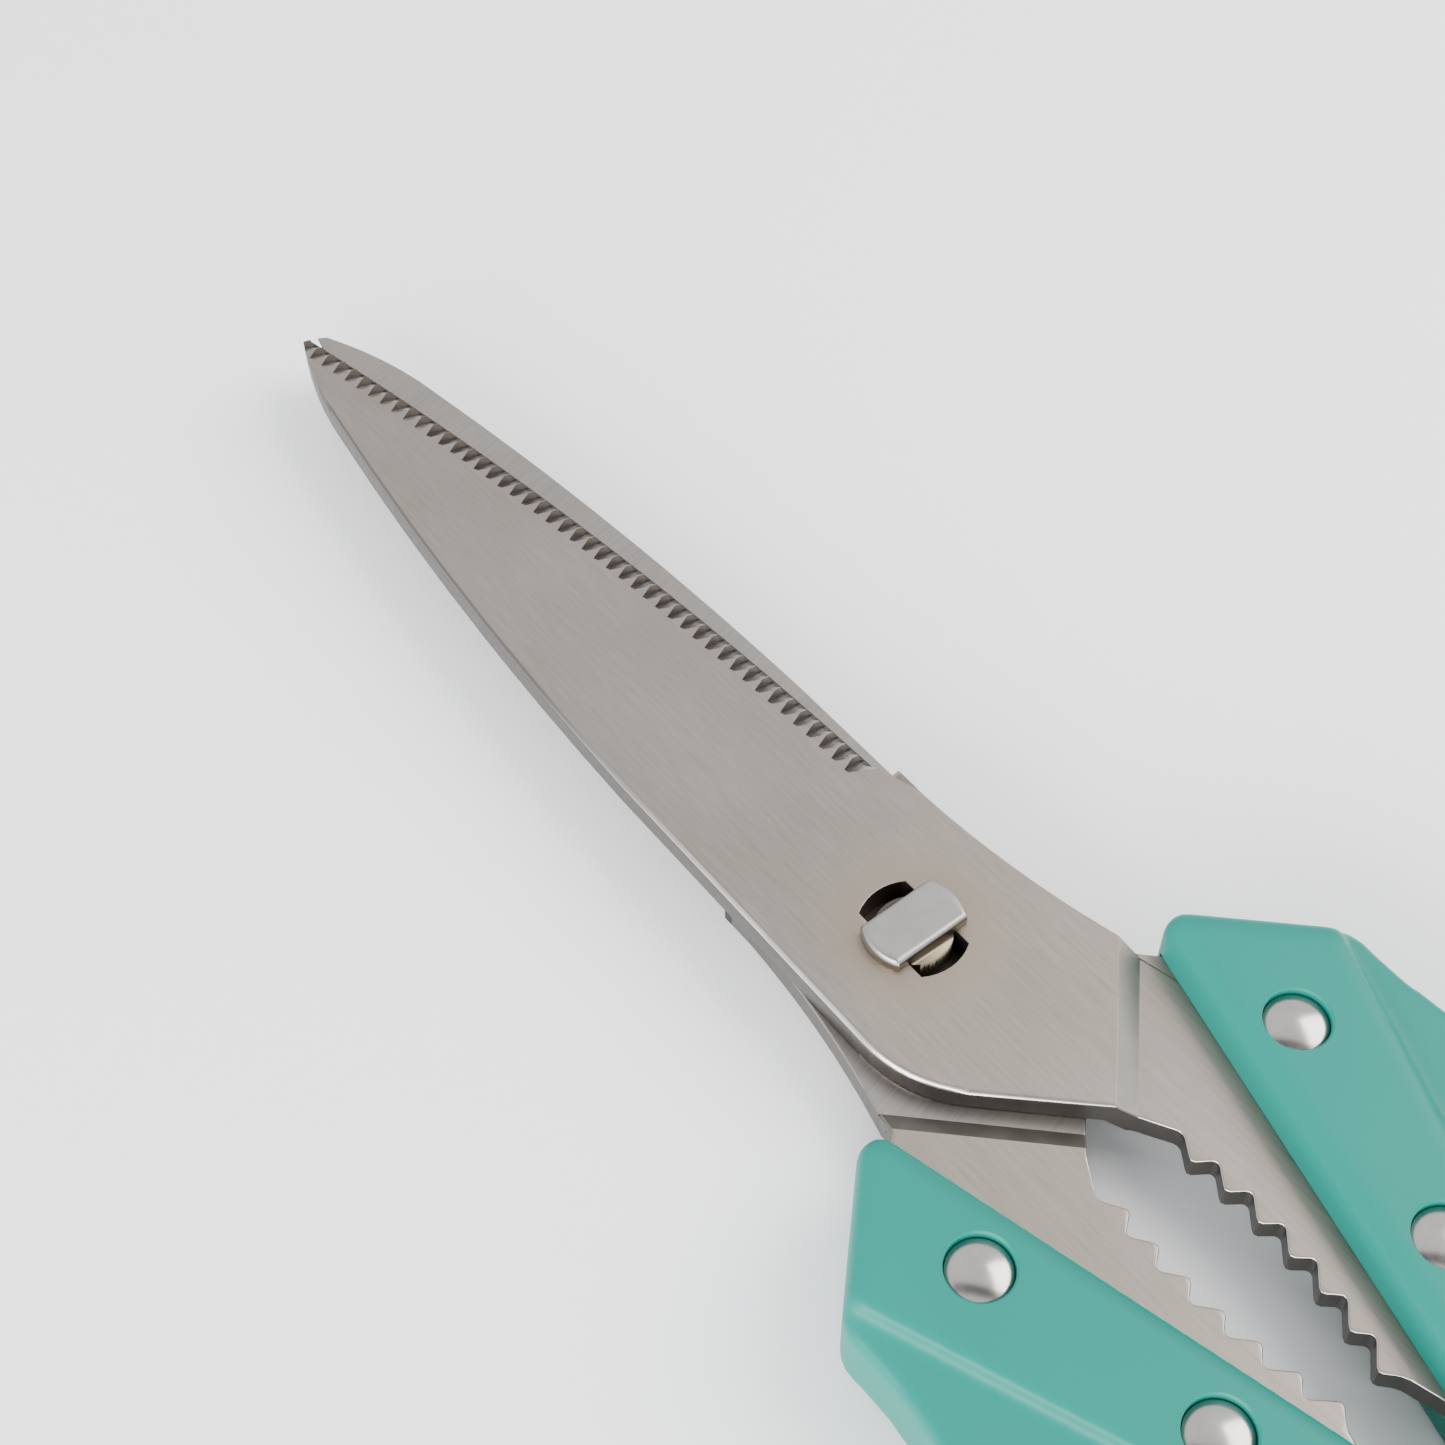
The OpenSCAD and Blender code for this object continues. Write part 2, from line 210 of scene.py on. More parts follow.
def lathe(bm, profile, steps=64):
    """Solid of revolution about Z from a profile of (radius, height), axis to axis."""
    verts = [bm.verts.new((r, 0, z)) for r, z in profile]
    edges = [bm.edges.new(pair) for pair in zip(verts, verts[1:])]
    bmesh.ops.spin(
        bm, geom=verts + edges, cent=(0, 0, 0), axis=(0, 0, 1),
        angle=2 * math.pi, steps=steps, use_merge=True,
    )
    bmesh.ops.remove_doubles(bm, verts=bm.verts, dist=1e-4)
    bmesh.ops.recalc_face_normals(bm, faces=bm.faces)


def settle(obj):
    """Applies an object's modifiers to its mesh."""
    graph = bpy.context.evaluated_depsgraph_get()
    mesh = bpy.data.meshes.new_from_object(obj.evaluated_get(graph))
    obj.modifiers.clear()
    obj.data = mesh


def cut(obj, tool, operation="DIFFERENCE"):
    """Cuts an object with a tool, which is used up."""
    mod = obj.modifiers.new("cut", "BOOLEAN")
    mod.operation = operation
    mod.solver = "EXACT"
    mod.object = tool
    settle(obj)
    bpy.data.objects.remove(tool)


def ease_rims(obj, low, high, width, segments):
    """Rounds the upper and lower rims of a prism."""
    bm = bmesh.new()
    bm.from_mesh(obj.data)
    bmesh.ops.remove_doubles(bm, verts=bm.verts, dist=1e-4)
    rims = []
    for edge in bm.edges:
        heights = [v.co.z for v in edge.verts]
        on_rim = all(abs(z - low) < 1e-3 for z in heights) or all(abs(z - high) < 1e-3 for z in heights)
        if on_rim and edge.is_manifold and edge.calc_face_angle() > math.radians(45):
            rims.append(edge)
    bmesh.ops.bevel(
        bm, geom=rims, offset=width, offset_type="OFFSET", affect="EDGES",
        segments=segments, profile=0.5, material=-1, clamp_overlap=True,
    )
    bm.to_mesh(obj.data)
    bm.free()


def smooth_shade(obj, sharp_degrees):
    """Smooth shading that keeps flat faces flat and sharp corners sharp."""
    mesh = obj.data
    level = [abs(face.normal.z) > 0.999 for face in mesh.polygons]
    mesh.polygons.foreach_set("use_smooth", [not flat for flat in level])
    mesh.set_sharp_from_angle(angle=math.radians(sharp_degrees))
    mod = obj.modifiers.new("normals", "WEIGHTED_NORMAL")
    mod.keep_sharp = True


def softened(node, name, rules):
    """Copy of a CAD node with chosen edges rounded; each rule is (pick, width,
    segments, clamp)."""
    bm = bmesh.new()
    bm.from_mesh(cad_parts[node].data)
    bmesh.ops.remove_doubles(bm, verts=bm.verts, dist=2e-6)
    bmesh.ops.dissolve_limit(
        bm, angle_limit=math.radians(0.6), verts=bm.verts, edges=bm.edges,
    )
    for pick, width, segments, clamp in rules:
        chosen = [e for e in bm.edges if e.is_manifold and pick(e)]
        bmesh.ops.bevel(
            bm, geom=chosen, offset=width * MM, offset_type="OFFSET", affect="EDGES",
            segments=segments, profile=0.5, material=-1, clamp_overlap=clamp,
        )
    bmesh.ops.triangulate(bm, faces=[f for f in bm.faces if len(f.verts) > 4])
    return from_bmesh(name, bm)


# ---------------------------------------------------------------- materials

class Wire:
    """A value that runs between the nodes of a finish."""

    def __init__(self, finish, socket):
        self.finish = finish
        self.socket = socket

    def _math(self, operation, first, second):
        return self.finish.node("ShaderNodeMath", {"operation": operation}, {0: first, 1: second})

    def __add__(self, other):
        return self._math("ADD", self, other)

    __radd__ = __add__

    def __sub__(self, other):
        return self._math("SUBTRACT", self, other)

    def __rsub__(self, other):
        return self._math("SUBTRACT", other, self)

    def __mul__(self, other):
        return self._math("MULTIPLY", self, other)

    __rmul__ = __mul__


class Finish:
    """A material on the principled shader, with its plain values set by socket name."""

    def __init__(self, name, values):
        self.material = bpy.data.materials.new(name)
        self.material.use_nodes = True
        self.tree = self.material.node_tree
        self.shader = self.tree.nodes["Principled BSDF"]
        for key, value in values.items():
            self.shader.inputs[key].default_value = value

    def node(self, kind, settings=None, inputs=None, output=0):
        made = self.tree.nodes.new(kind)
        for key, value in (settings or {}).items():
            if key == "stops":
                self.set_stops(made.color_ramp, value)
            else:
                setattr(made, key, value)
        for key, value in (inputs or {}).items():
            if isinstance(value, Wire):
                self.tree.links.new(value.socket, made.inputs[key])
            else:
                made.inputs[key].default_value = value
        return Wire(self, made.outputs[output])

    @staticmethod
    def set_stops(ramp, stops):
        while len(ramp.elements) < len(stops):
            ramp.elements.new(0.5)
        for element, (place, grey) in zip(ramp.elements, stops):
            element.position = place
            element.color = (grey, grey, grey, 1)

    def place(self, stretch=(1, 1, 1), turn=0.0):
        """Object coordinates, turned about Z and stretched."""
        here = self.node("ShaderNodeTexCoord", output="Object")
        turned = self.node(
            "ShaderNodeVectorRotate", {"rotation_type": "Z_AXIS"}, {"Vector": here, "Angle": turn},
        )
        return self.node("ShaderNodeVectorMath", {"operation": "MULTIPLY"}, {0: turned, 1: stretch})

    def ring(self, centre, full, none):
        """One at the radius full from a plan centre, falling to zero at the radius none."""
        flat = self.place((1, 1, 0))
        settings = {"operation": "DISTANCE"}
        reach = self.node("ShaderNodeVectorMath", settings, {0: flat, 1: centre}, output=1)
        limits = {"From Min": min(full, none), "From Max": max(full, none)}
        ends = {"To Min": float(full < none), "To Max": float(full > none)}
        return self.node("ShaderNodeMapRange", None, {"Value": reach, **limits, **ends})

    def cover(self, factor, below, shade):
        """A colour with a flat shade laid over it."""
        inputs = {0: factor, 6: below, 7: (*shade, 1)}
        return self.node("ShaderNodeMix", {"data_type": "RGBA"}, inputs, output=2)

    def noise(self, where, detail=3.0, roughness=0.5):
        settings = {"noise_dimensions": "3D"}
        inputs = {"Vector": where, "Scale": 1.0, "Detail": detail, "Roughness": roughness}
        return self.node("ShaderNodeTexNoise", settings, inputs)

    def ramp(self, factor, stops):
        return self.node("ShaderNodeValToRGB", {"stops": stops}, {"Fac": factor})

    def blend(self, factor, first, second):
        inputs = {0: factor, 6: (*first, 1), 7: (*second, 1)}
        return self.node("ShaderNodeMix", {"data_type": "RGBA"}, inputs, output=2)

    def feed(self, socket, value):
        self.tree.links.new(value.socket, self.shader.inputs[socket])

    def bump(self, height, strength, distance):
        inputs = {"Height": height, "Strength": strength, "Distance": distance}
        self.feed("Normal", self.node("ShaderNodeBump", None, inputs))


def brushed_steel(name, dark, light, turn=0.0, fine=1.0, rough=0.34, pivot_ring=None):
    """Steel brushed in one direction: fine lines, faint clouds, a few scratches and a
    ring round the pivot given as (colour, inner radius, outer radius), painted shade when dark."""
    steel = Finish(name, {"Metallic": 1.0})
    lines = steel.noise(steel.place((220, 3800 * fine, 3800 * fine), turn), 3.0, 0.65)
    clouds = steel.noise(steel.place((55, 90, 90), turn), 3.0, 0.5)
    scratch_field = steel.noise(steel.place((70, 2600, 2600), turn - 0.12), 1.0, 0.4)
    scratches = steel.ramp(scratch_field, [(0.0, 0.0), (0.72, 0.0), (0.78, 1.0)])
    tone = steel.ramp(0.6 * lines + 0.4 * clouds, [(0.32, 0.0), (0.68, 1.0)])
    colour = steel.blend(tone, dark, light)
    if pivot_ring:
        shade, inner, outer = pivot_ring
        colour = steel.cover(steel.ring(PIVOT, inner, outer), colour, shade)
    steel.feed("Base Color", colour)
    steel.feed("Roughness", rough + 0.10 * lines + 0.06 * clouds - 0.04 * scratches)
    steel.bump(lines + 0.35 * scratches, 0.08, 0.00003)
    return steel.material


def sheared_steel(name, dark, light, edge_shade_line=None):
    """Stamped side walls: duller, with short upright drag marks and, when a colour is given
    for it, a line of painted shade along the cutting edge."""
    steel = Finish(name, {"Metallic": 1.0})
    marks = steel.noise(steel.place((2200, 2200, 260)), 3.0, 0.6)
    clouds = steel.noise(steel.place((300, 300, 300)), 2.0, 0.5)
    colour = steel.blend(0.6 * marks + 0.4 * clouds, dark, light)
    if edge_shade_line:
        full = MM * (EDGE_R - EDGE_LINE_FULL)
        end = MM * (EDGE_R - EDGE_LINE_END)
        # Painted shade: a thin dark line just inside the cutting edge.
        painted_edge_shade = steel.ring(EDGE_CENTRE, full, end)
        colour = steel.cover(painted_edge_shade, colour, edge_shade_line)
    steel.feed("Base Color", colour)
    steel.feed("Roughness", 0.30 + 0.22 * marks)
    steel.bump(marks, 0.3, 0.00005)
    return steel.material


def shaded_edge(name, dark, light):
    """The blunt land of the cutting edge, painted near black as shade."""
    land = Finish(name, {"Specular IOR Level": 0.1, "Roughness": 0.7})
    shade_mottle = land.noise(land.place((900, 900, 900)), 2.0, 0.5)
    land.feed("Base Color", land.blend(shade_mottle, dark, light))
    return land.material


def moulded_plastic(name, deep, pale):
    """Semi-gloss moulded plastic with a barely visible flow and a fine skin."""
    plastic = Finish(name, {"IOR": 1.5, "Specular IOR Level": 0.22})
    flow = plastic.noise(plastic.place((40, 70, 90)), 2.0, 0.5)
    skin = plastic.noise(plastic.place((3200, 3200, 3200)), 2.0, 0.5)
    plastic.feed("Base Color", plastic.blend(flow, deep, pale))
    plastic.feed("Roughness", 0.34 + 0.05 * flow + 0.07 * skin)
    plastic.bump(skin, 0.10, 0.00003)
    return plastic.material


def polished_steel(name, dark, light, rough, fade=None):
    """Pressed and polished steel with fine handling marks. It can fade away from the
    pivot, given as (colour, radius where it starts, radius where it ends)."""
    steel = Finish(name, {"Metallic": 1.0})
    haze = steel.noise(steel.place((500, 500, 500)), 3.0, 0.55)
    marks = steel.noise(steel.place((400, 4200, 4200), 0.7), 2.0, 0.5)
    colour = steel.blend(haze, dark, light)
    if fade:
        shade, start, end = fade
        colour = steel.cover(steel.ring(PIVOT, end, start), colour, shade)
    steel.feed("Base Color", colour)
    steel.feed("Roughness", rough + 0.10 * haze + 0.05 * marks)
    steel.bump(marks, 0.08, 0.00003)
    return steel.material


FACE_STEEL = brushed_steel(
    "brushed_face", (0.258, 0.222, 0.192), (0.330, 0.286, 0.250),
    pivot_ring=((0.30, 0.250, 0.195), 0.0045, 0.0085),
)
# The near-black ring round the pivot on this face is painted shade in the gap of the upper blade's slot.
BACK_STEEL = brushed_steel(
    "cross_ground_face", (0.26, 0.235, 0.215), (0.34, 0.31, 0.285), math.radians(78),
    pivot_ring=((0.045, 0.036, 0.030), 0.0046, 0.0056),
)
WALL_STEEL = sheared_steel("sheared_wall", (0.085, 0.076, 0.068), (0.16, 0.147, 0.135))
# The dark line along the cutting edge on this finish and the next is painted shade.
NOTCH_STEEL = sheared_steel(
    "ground_notch", (0.26, 0.235, 0.21), (0.38, 0.345, 0.315), edge_shade_line=(0.035, 0.030, 0.026),
)
# Painted shade: a darkened copy of the sheared wall for the slot walls, the notch flanks facing the edge
# and the stud's shank on its side towards the tips.
SHADE_PAINTED_STEEL = sheared_steel(
    "painted_shade_recess", (0.065, 0.055, 0.048), (0.11, 0.095, 0.084), edge_shade_line=(0.035, 0.030, 0.026),
)
# Painted shade: the land of the cutting edge in dull near-black.
EDGE_SHADE = shaded_edge("edge_land", (0.030, 0.026, 0.023), (0.050, 0.043, 0.038))
# Polished rounded rims, painted lighter as a highlight near the pivot and fading to darker steel further
# out.
RIM_HIGHLIGHT_STEEL = polished_steel(
    "rounded_rim_highlight", (0.50, 0.475, 0.445), (0.62, 0.59, 0.555), 0.22,
    fade=((0.17, 0.155, 0.14), 0.014, 0.040),
)
# Painted highlight: the same light polished steel on the rounded rims beside the teeth.
TIP_HIGHLIGHT_STEEL = polished_steel("tooth_tip_highlight", (0.50, 0.475, 0.445), (0.62, 0.59, 0.555), 0.22)
BEND_STEEL = polished_steel("pressed_bend", (0.19, 0.170, 0.152), (0.26, 0.235, 0.212), 0.42)
STUD_STEEL = polished_steel("stud_satin", (0.31, 0.285, 0.262), (0.40, 0.372, 0.345), 0.30)
SHANK_STEEL = polished_steel("stud_shank", (0.17, 0.138, 0.095), (0.25, 0.205, 0.145), 0.34)
RIVET_STEEL = polished_steel("rivet_polish", (0.36, 0.33, 0.31), (0.50, 0.465, 0.44), 0.15)
PLASTIC = moulded_plastic("turquoise_plastic", (0.0, 0.165, 0.129), (0.0, 0.182, 0.143))


# ---------------------------------------------------------------- pieces

def finish_piece(obj, body, node, sharp_degrees):
    smooth_shade(obj, sharp_degrees)
    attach(obj, body)
    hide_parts(node)


def from_pivot(point):
    """Plan place of a point relative to the pivot, in millimetres."""
    return vec((point.x - PIVOT.x) / MM, (point.y - PIVOT.y) / MM)


def edge_facts(edge, side):
    """Middle of an edge seen from its own half, its height, tilt and fold angle."""
    middle = (edge.verts[0].co + edge.verts[1].co) / 2
    plan = from_pivot(middle)
    way = (edge.verts[1].co - edge.verts[0].co).normalized()
    fold = edge.calc_face_angle_signed()
    return vec(plan.x, plan.y * side), middle.z / MM, abs(way.z), fold


# Where the features of a steel half lie, in millimetres from the pivot. The joggle runs
# askew, so its limits are of x + y. HOLE_ZONE is a radius round the slot and the bore.
NOTCH_FROM = 11
NOTCH_BAND = 4.07
NOTCH_SLOPE = 0.118
TEETH_X = (-52, -23)
TEETH_Y = (-6, -1)
SHANK_X = (-23, 9)
SPINE_X = (-19, 82)
SPINE_Y = 1.0
LAP_FROM = -19
JOGGLE = (-28, -20)
JOGGLE_BEND = (-27.5, -20.5)
HOLE_ZONE = 6.5

# Limits for picking edges: heights and tilts within LEVEL or UPRIGHT, and folds in radians
# of a right corner, of the joggle's bends and of a tooth's root.
LEVEL = 0.01
UPRIGHT = 0.99
SLANTED = 0.6
CORNER = 1.2
BEND = (0.15, 0.8)
ROOT = -0.35

# Limits for telling faces apart, from their normals: how upright the normal of a wall, a
# rounding and a bend is at most, and how far one turns to the mate or to the edge.
WALL = 0.45
ROUNDING = 0.93
BENT = 0.985
TO_MATE = -0.9
TO_EDGE = -0.5
ON_LAND = -0.6


def within(value, limits):
    return limits[0] < value < limits[1]


def in_notches(plan):
    """True beside the notched cutting edge."""
    limit = EDGE_SHOULDER.y + NOTCH_BAND + NOTCH_SLOPE * (plan.x - EDGE_SHOULDER.x)
    return plan.x > NOTCH_FROM and plan.y < limit


def beside_teeth(plan):
    """True along the toothed side of the shank."""
    return within(plan.x, TEETH_X) and within(plan.y, TEETH_Y)


def blade_rules(side, face_z):
    """Edge roundings of a steel half whose outer face lies at face_z."""

    def spine_rim(edge):
        plan, z, tilt, fold = edge_facts(edge, side)
        on_spine = plan.y > SPINE_Y and within(plan.x, SPINE_X) and plan.length > HOLE_ZONE
        return abs(z - face_z) < LEVEL and tilt < LEVEL and fold > CORNER and on_spine

    def joggle_bend(edge):
        plan, _, tilt, fold = edge_facts(edge, side)
        return tilt < LEVEL and within(abs(fold), BEND) and within(plan.x + plan.y, JOGGLE)

    def shank_rim(edge):
        plan, _, tilt, fold = edge_facts(edge, side)
        on_shank = within(plan.x, SHANK_X) and plan.length > HOLE_ZONE
        return tilt < SLANTED and fold > CORNER and on_shank

    def tooth_rim(edge):
        plan, _, tilt, fold = edge_facts(edge, side)
        return tilt < SLANTED and fold > CORNER and beside_teeth(plan)

    def hole_rim(edge):
        plan, z, tilt, fold = edge_facts(edge, side)
        on_face = tilt < LEVEL and abs(z - face_z) < LEVEL
        return on_face and fold > CORNER and plan.length < HOLE_ZONE

    def tooth_root(edge):
        plan, _, tilt, fold = edge_facts(edge, side)
        return tilt > UPRIGHT and fold < ROOT and beside_teeth(plan)

    return [
        (tooth_root, 0.5, 3, True), (joggle_bend, 0.75, 4, True), (spine_rim, 0.55, 4, False),
        (shank_rim, 0.2, 3, False), (tooth_rim, 0.16, 3, False), (hole_rim, 0.1, 2, True),
    ]


def blade_finish(plan, across, up, flat):
    """Finish of a blade face at a place: across points away from the edge, up from the mate."""
    wall = flat < WALL
    mating = up < TO_MATE
    if plan.length < HOLE_ZONE:
        # Walls round the slot and the bore: painted shade.
        if wall:
            return SHADE_PAINTED_STEEL
        return BACK_STEEL if up < 0 else FACE_STEEL
    # The land of the cutting edge: painted shade.
    if in_notches(plan) and not mating and across < ON_LAND:
        return EDGE_SHADE
    # Walls and edge-facing flanks in the notches: painted shade.
    if in_notches(plan) and not mating and (wall or across < TO_EDGE):
        return SHADE_PAINTED_STEEL
    if in_notches(plan) and flat < BENT:
        return NOTCH_STEEL
    if wall:
        return WALL_STEEL
    # Rounded rims beside the teeth: painted highlight.
    if flat < ROUNDING and beside_teeth(plan):
        return TIP_HIGHLIGHT_STEEL
    if mating and plan.x > LAP_FROM:
        return BACK_STEEL
    if flat < BENT and within(plan.x + plan.y, JOGGLE_BEND):
        return BEND_STEEL
    # Rounded rims on the spine side: painted highlight.
    if flat < ROUNDING and plan.y > SPINE_Y and plan.x + plan.y > LAP_FROM:
        return RIM_HIGHLIGHT_STEEL
    return FACE_STEEL


def paint_blade(obj, side):
    """Gives the faces of a blade their finishes by where they point and lie; some of them are painted
    shade and painted highlights.
    """
    finishes = [
        FACE_STEEL, WALL_STEEL, RIM_HIGHLIGHT_STEEL, TIP_HIGHLIGHT_STEEL, NOTCH_STEEL, BACK_STEEL, SHADE_PAINTED_STEEL,
        BEND_STEEL, EDGE_SHADE,
    ]
    for material in finishes:
        obj.data.materials.append(material)
    for face in obj.data.polygons:
        plan = from_pivot(face.center)
        plan.y *= side
        normal = face.normal
        finish = blade_finish(plan, normal.y * side, normal.z * side, abs(normal.z))
        face.material_index = finishes.index(finish)


def crisp_notches(obj, side):
    """Marks every fold in the notches sharp, so that the face beside them stays flat."""
    bm = bmesh.new()
    bm.from_mesh(obj.data)
    for edge in bm.edges:
        plan = from_pivot((edge.verts[0].co + edge.verts[1].co) / 2)
        plan.y *= side
        if in_notches(plan) and edge.calc_face_angle(0) > 0.03:
            edge.smooth = False
    bm.to_mesh(obj.data)
    bm.free()


def make_blade(node, name, body, side, face_z):
    blade = softened(node, name, blade_rules(side, face_z))
    paint_blade(blade, side)
    finish_piece(blade, body, node, 28)
    crisp_notches(blade, side)


# Handle: how far its rims are rounded, the grid it is blended on and how often that is
# smoothed. Then the profile of a rivet's hole with a recess at each end.
BOW_RIM = 2.6
BAND_RIM = 1.5
CREASE_RIM = 0.9
BLEND_GRID = 0.42
BLEND_PASSES = 6
TANG_FIT = 0.05
HOLE_R = 1.52
RECESS_R = 2.65
RECESS_LIP_R = 2.82
RECESS_DEPTH = 1.2
RIVET_HOLE = [
    (0, -1), (RECESS_LIP_R, -1), (RECESS_LIP_R, 0.02), (RECESS_R, 0.18), (RECESS_R, RECESS_DEPTH),
    (HOLE_R, RECESS_DEPTH), (HOLE_R, HANDLE_T - RECESS_DEPTH), (RECESS_R, HANDLE_T - RECESS_DEPTH),
    (RECESS_R, HANDLE_T - 0.18), (RECESS_LIP_R, HANDLE_T - 0.02), (RECESS_LIP_R, HANDLE_T + 1),
    (0, HANDLE_T + 1),
]


def make_handle(node, name, body, to_frame):
    """Handle blended from a soft bow and a higher band, then pocketed and drilled."""
    outer = prism("bow", handle_outline(), BOW_DROP, HANDLE_T - BOW_DROP)
    cut(outer, prism("hole", hole_outline(), -1, HANDLE_T + 1))
    ease_rims(outer, BOW_DROP, HANDLE_T - BOW_DROP, BOW_RIM, 5)
    band = prism("band", handle_outline(), 0, HANDLE_T)
    ease_rims(band, 0, HANDLE_T, BAND_RIM, 4)
    cut(band, prism("region", band_region(), -1, HANDLE_T + 1), "INTERSECT")
    ease_rims(band, 0, HANDLE_T, CREASE_RIM, 3)
    both = bmesh.new()
    both.from_mesh(outer.data)
    both.from_mesh(band.data)
    bpy.data.objects.remove(outer)
    bpy.data.objects.remove(band)
    handle = from_bmesh(name, both)
    remesh = handle.modifiers.new("blend", "REMESH")
    remesh.mode = "VOXEL"
    remesh.voxel_size = BLEND_GRID
    settle(handle)
    bm = bmesh.new()
    bm.from_mesh(handle.data)
    for _ in range(BLEND_PASSES):
        bmesh.ops.smooth_vert(
            bm, verts=bm.verts, factor=0.5, use_axis_x=True, use_axis_y=True, use_axis_z=True,
        )
    bm.to_mesh(handle.data)
    bm.free()
    half = SHEET_T / 2 + TANG_FIT
    cut(handle, prism("pocket", tang_pocket(), MID_Z - half, MID_Z + half))
    for centre in RIVETS:
        drill = bmesh.new()
        lathe(drill, RIVET_HOLE)
        bmesh.ops.translate(drill, vec=(centre.x, centre.y, 0), verts=drill.verts)
        cut(handle, from_bmesh("drill", drill))
    handle.data.transform(to_frame)
    handle.data.materials.clear()
    handle.data.materials.append(PLASTIC)
    finish_piece(handle, body, node, 40)


RIVET_R = 2.52
TUBE_R = 1.5
PIN_R = 0.9
PIN_FIT = 0.02
PIN_END = 6.6
TUBE_FLOOR = 1.7
TUBE_TOP = 8.29
DOME_SLOPE = math.radians(28)
DOME_STEPS = 10
DOME_RIM = 0.55


def rivet_dome(sign, foot):
    """Profile of a pressed head from its rim to the axis; sign is where it points."""
    dome_r = RIVET_R / math.sin(DOME_SLOPE)
    crown = [(RIVET_R, 0.0)]
    for i in range(DOME_STEPS + 1):
        slope = DOME_SLOPE * (1 - i / DOME_STEPS)
        rise = dome_r * (math.cos(slope) - math.cos(DOME_SLOPE))
        crown.append((dome_r * math.sin(slope), DOME_RIM + rise))
    return [(r, foot + sign * h) for r, h in crown]


def make_rivet(prefix, body):
    """Two-part rivet: a headed pin pressed into a headed tube."""
    low = RECESS_DEPTH
    high = HANDLE_T - RECESS_DEPTH
    pin = [(0, PIN_END), (PIN_R, PIN_END), (PIN_R, high)] + rivet_dome(1, high)
    bore_r = PIN_R + PIN_FIT
    tube = [(0, TUBE_FLOOR), (bore_r, TUBE_FLOOR), (bore_r, TUBE_TOP), (TUBE_R, TUBE_TOP), (TUBE_R, low)]
    cap = tube + rivet_dome(-1, low)
    for part, profile in (("pin", pin), ("cap", cap)):
        node = f"{prefix}_{part}"
        bm = bmesh.new()
        lathe(bm, profile)
        box_low, box_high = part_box(node)
        middle = from_pivot((box_low + box_high) / 2)
        bmesh.ops.translate(bm, vec=(middle.x, middle.y, 0), verts=bm.verts)
        rivet = from_bmesh(node + "_polished", bm)
        rivet.data.transform(ON_FRAME)
        rivet.data.materials.append(RIVET_STEEL)
        finish_piece(rivet, body, node, 35)


def stud_finish(face):
    """Satin on the head and the base, sheared on the flats, bare on the shank under the
    head, and painted dark as shade on its side towards the tips."""
    if MID_Z < face.center.z / MM < UNDER_HEAD:
        # The shank's side towards the tips: painted shade.
        return SHADE_PAINTED_STEEL if face.center.x > PIVOT.x + MM else SHANK_STEEL
    if abs(face.normal.x) > FLAT_OF_HEAD:
        return WALL_STEEL
    return STUD_STEEL


def make_stud():
    """Hooked stud with a softened head, from the CAD solid."""

    def head_rim(edge):
        _, z, tilt, fold = edge_facts(edge, 1)
        return z > HEAD_TOP_ZONE and tilt < LEVEL and fold > CORNER

    stud = softened("pivot_stud", "pivot_stud_satin", [(head_rim, 0.45, 4, True)])
    finishes = [STUD_STEEL, SHANK_STEEL, WALL_STEEL, SHADE_PAINTED_STEEL]
    for material in finishes:
        stud.data.materials.append(material)
    for face in stud.data.polygons:
        face.material_index = finishes.index(stud_finish(face))
    finish_piece(stud, "lower_half", "pivot_stud", 32)


make_blade("upper_blade", "upper_blade_steel", "upper_half", 1, MID_Z + 0.05 + SHEET_T)
make_blade("lower_blade", "lower_blade_steel", "lower_half", -1, MID_Z - 0.05 - SHEET_T)
make_handle("upper_handle", "upper_handle_moulded", "upper_half", ON_FRAME)
make_handle("lower_handle", "lower_handle_moulded", "lower_half", TURNED_OVER)
for place in ("front", "middle", "rear"):
    make_rivet(f"upper_{place}_rivet", "upper_half")
    make_rivet(f"lower_{place}_rivet", "lower_half")
make_stud()


# ---------------------------------------------------------------- stage

def make_floor():
    bm = bmesh.new()
    bmesh.ops.create_grid(bm, x_segments=1, y_segments=1, size=3.0)
    floor = from_bmesh("floor", bm)
    paper = Finish("pale_floor", {"Roughness": 0.85})
    grain = paper.noise(paper.place((400, 400, 400)), 2.0, 0.5)
    paper.feed("Base Color", paper.blend(grain, (0.90, 0.895, 0.90), (0.915, 0.91, 0.915)))
    floor.data.materials.append(paper.material)


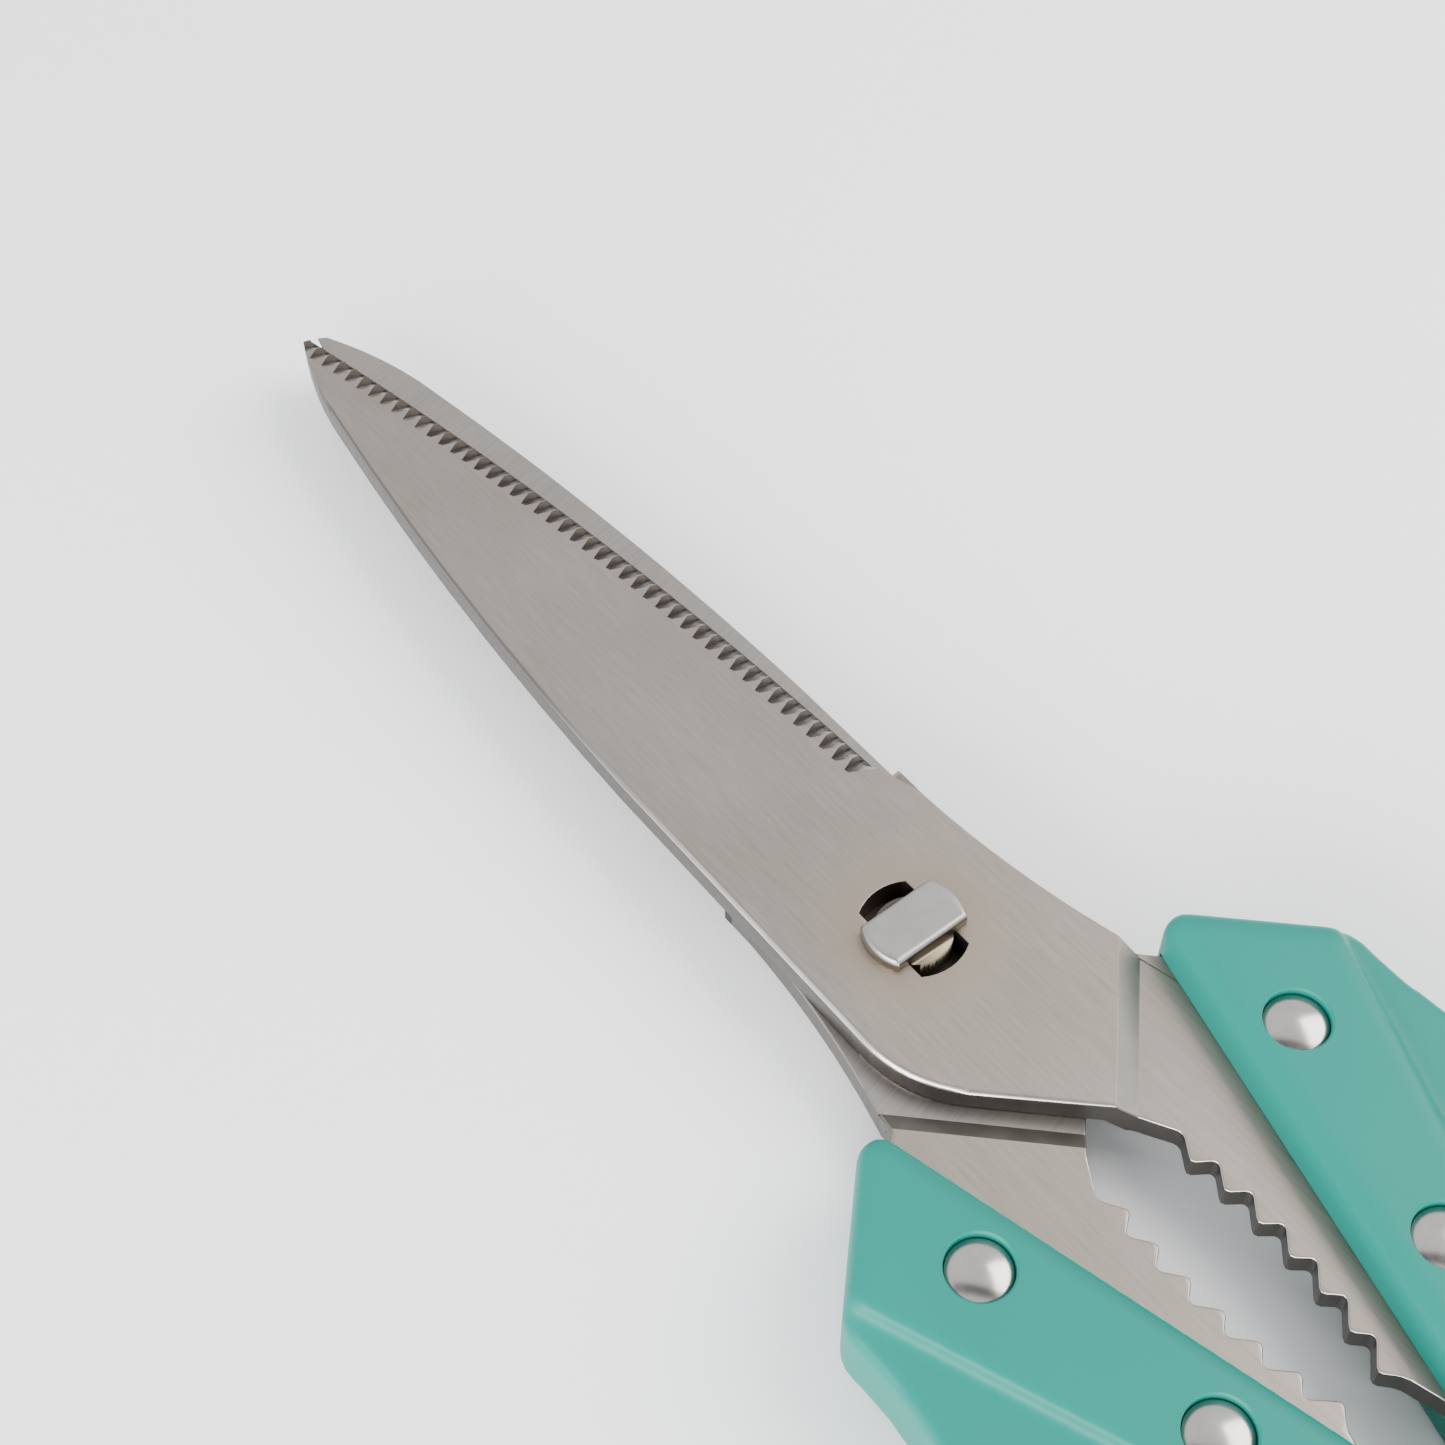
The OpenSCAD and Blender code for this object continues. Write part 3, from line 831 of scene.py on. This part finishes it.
def make_lamp(name, place, size, watts, tint):
    """Soft rectangular lamp that points at the middle of the frame."""
    light = bpy.data.lights.new(name, "AREA")
    light.shape = "RECTANGLE"
    light.size, light.size_y = size
    light.energy = watts
    light.color = tint
    lamp = bpy.data.objects.new(name, light)
    bpy.context.scene.collection.objects.link(lamp)
    lamp.location = place
    lamp.rotation_euler = (-Vector(place)).to_track_quat("-Z", "Y").to_euler()


def make_card(place, half):
    """Dark card over the camera, which the rivets and the stud mirror."""
    bm = bmesh.new()
    bmesh.ops.create_grid(bm, x_segments=1, y_segments=1, size=1.0)
    bmesh.ops.scale(bm, vec=(*half, 1), verts=bm.verts)
    turn = (-Vector(place)).to_track_quat("-Z", "Y").to_matrix().to_4x4()
    bmesh.ops.transform(bm, matrix=Matrix.Translation(place) @ turn, verts=bm.verts)
    card = from_bmesh("dark_card", bm)
    felt = Finish("dark_felt", {"Roughness": 0.9})
    weave = felt.noise(felt.place((90, 90, 90)))
    felt.feed("Base Color", felt.blend(weave, (0.02, 0.02, 0.02), (0.04, 0.04, 0.04)))
    card.data.materials.append(felt.material)


def make_sky():
    world = bpy.data.worlds.new("studio")
    bpy.context.scene.world = world
    world.use_nodes = True
    back = world.node_tree.nodes["Background"]
    back.inputs["Color"].default_value = (0.93, 0.96, 1.0, 1)
    back.inputs["Strength"].default_value = 1.55


def make_camera():
    data = bpy.data.cameras.new("camera")
    data.lens = 57.5
    data.clip_start = 0.01
    camera = bpy.data.objects.new("camera", data)
    bpy.context.scene.collection.objects.link(camera)
    place = Vector((-0.05986, 0.07250, 0.16368))
    aim = Vector((0.04095, -0.00438, 0))
    level = (aim - place).to_track_quat("-Z", "Y")
    camera.location = place
    camera.rotation_mode = "QUATERNION"
    camera.rotation_quaternion = level @ Quaternion((0, 0, 1), math.radians(-1.08))
    bpy.context.scene.camera = camera


make_floor()
make_sky()
make_lamp("key", (-0.20, -0.50, 0.50), (0.6, 0.6), 8.0, (1, 0.985, 0.96))
make_lamp("fill", (-0.25, 0.60, 0.24), (0.8, 0.4), 14.0, (0.97, 0.985, 1))
make_card((-0.07, 0.085, 0.42), (0.30, 0.06))
make_camera()
